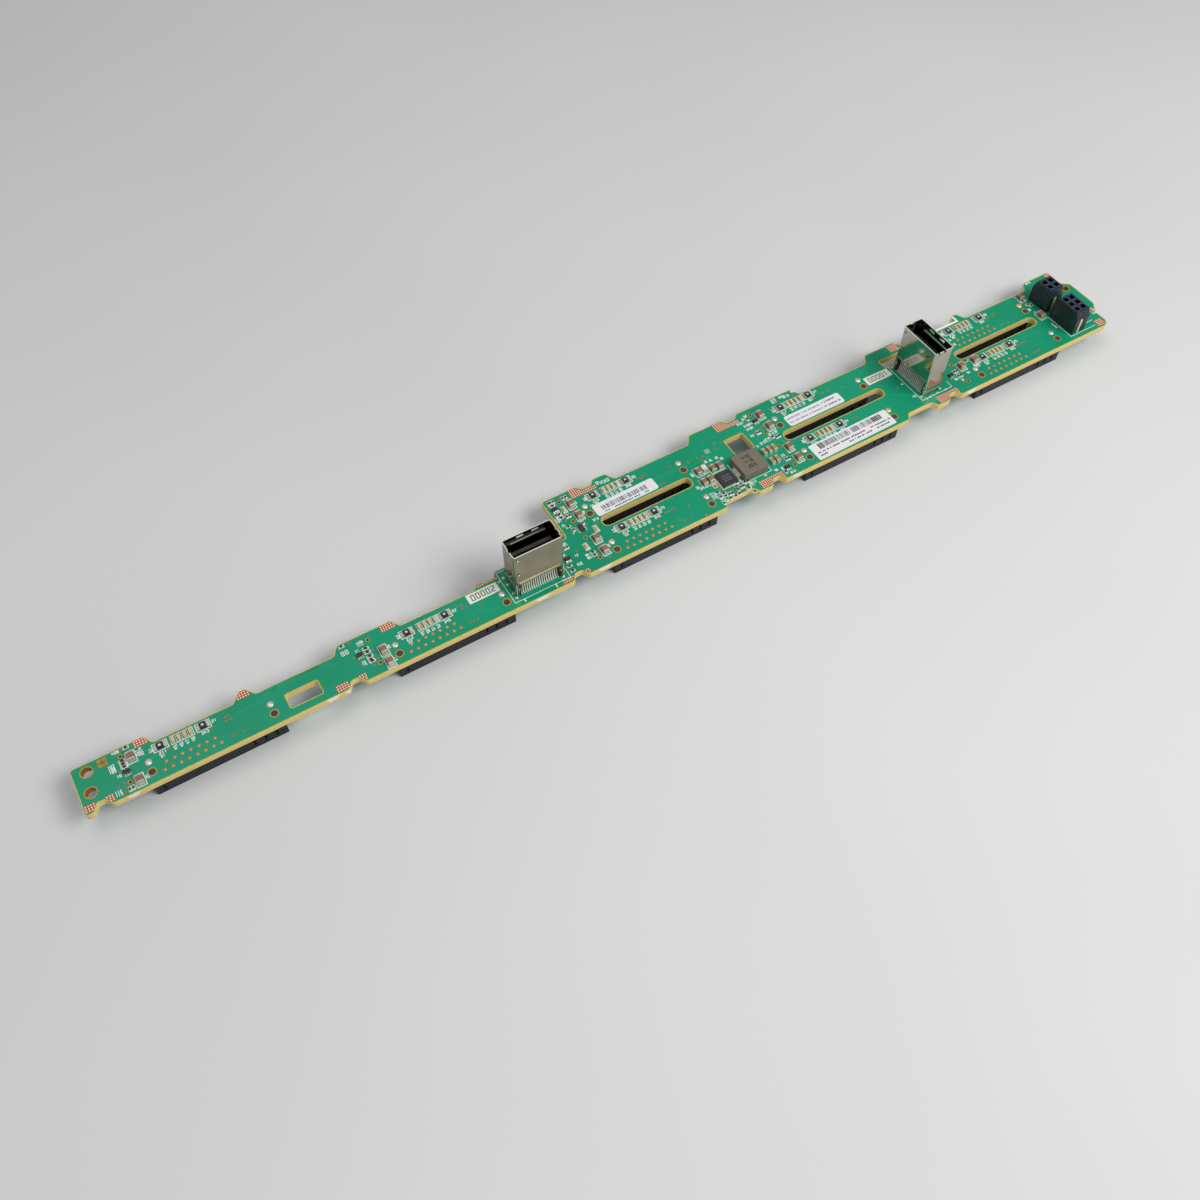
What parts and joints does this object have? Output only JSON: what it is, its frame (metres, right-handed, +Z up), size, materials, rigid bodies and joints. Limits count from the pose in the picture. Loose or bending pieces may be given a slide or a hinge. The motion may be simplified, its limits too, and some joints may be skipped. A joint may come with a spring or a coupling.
{
  "type": "drive backplane board",
  "caption": "Long notched green circuit board standing on its drive sockets, with shielded cable ports, power headers, a regulator and airflow slots.",
  "frame": {"origin": "under the middle of the board, on the plane of the drive sockets' mating faces", "axes": "+X along the board towards the power headers, +Y towards the back edge of the wide part, +Z up through the cable side"},
  "size_m": [0.4114, 0.0352, 0.0315],
  "materials": {
    "brown_ceramic": "fired brown ceramic with silvered ends",
    "chip_epoxy": "black epoxy",
    "contact_gold": "gold-plated copper alloy",
    "core_plastic": "black moulded plastic",
    "ferrite": "warm grey pressed powder",
    "fuse_body": "dark body with silvered ends",
    "header_plastic": "black moulded plastic",
    "label_paper": "white printed label stock",
    "lead_tin": "tinned leads",
    "lock_tin": "tin-plated sheet",
    "olive_ceramic": "fired olive ceramic with silvered ends",
    "resistor_film": "dark film on a white ceramic",
    "shield": "bright plated steel shell",
    "socket_plastic": "matt black moulded plastic",
    "solder_mask": "satin green solder mask on glass-fibre laminate",
    "tan_ceramic": "fired tan ceramic with silvered ends"
  },
  "bodies": {
    "root": {"bay_capacitors_1": "tan_ceramic", "bay_capacitors_2": "tan_ceramic", "bay_capacitors_3": "tan_ceramic", "bay_capacitors_4": "tan_ceramic", "bay_capacitors_5": "tan_ceramic", "bay_capacitors_6": "tan_ceramic", "bay_capacitors_7": "tan_ceramic", "bay_capacitors_8": "tan_ceramic", "bay_fuses_1": "fuse_body", "bay_fuses_2": "fuse_body", "bay_fuses_3": "fuse_body", "bay_fuses_4": "fuse_body", "bay_fuses_5": "fuse_body", "bay_fuses_6": "fuse_body", "bay_fuses_7": "fuse_body", "bay_fuses_8": "fuse_body", "board": "solder_mask", "board_locks": "lock_tin", "bus_chip": "chip_epoxy", "drive_socket_1": "socket_plastic", "drive_socket_2": "socket_plastic", "drive_socket_3": "socket_plastic", "drive_socket_4": "socket_plastic", "drive_socket_5": "socket_plastic", "drive_socket_6": "socket_plastic", "drive_socket_7": "socket_plastic", "drive_socket_8": "socket_plastic", "drive_socket_contacts_1": "contact_gold", "drive_socket_contacts_2": "contact_gold", "drive_socket_contacts_3": "contact_gold", "drive_socket_contacts_4": "contact_gold", "drive_socket_contacts_5": "contact_gold", "drive_socket_contacts_6": "contact_gold", "drive_socket_contacts_7": "contact_gold", "drive_socket_contacts_8": "contact_gold", "header_clips": "lead_tin", "input_capacitors": "brown_ceramic", "label_1": "label_paper", "label_2": "label_paper", "label_3": "label_paper", "output_capacitors": "olive_ceramic", "port_contacts_1": "lead_tin", "port_contacts_2": "lead_tin", "port_core_1": "core_plastic", "port_core_2": "core_plastic", "port_shell_1": "shield", "port_shell_2": "shield", "power_header_1": "header_plastic", "power_header_2": "header_plastic", "power_header_pins_1": "contact_gold", "power_header_pins_2": "contact_gold", "power_inductor": "ferrite", "regulator_capacitors": "brown_ceramic", "regulator_chip": "chip_epoxy", "resistors": "resistor_film", "small_capacitors": "tan_ceramic", "transistors": "chip_epoxy"}
  },
  "joints": []
}
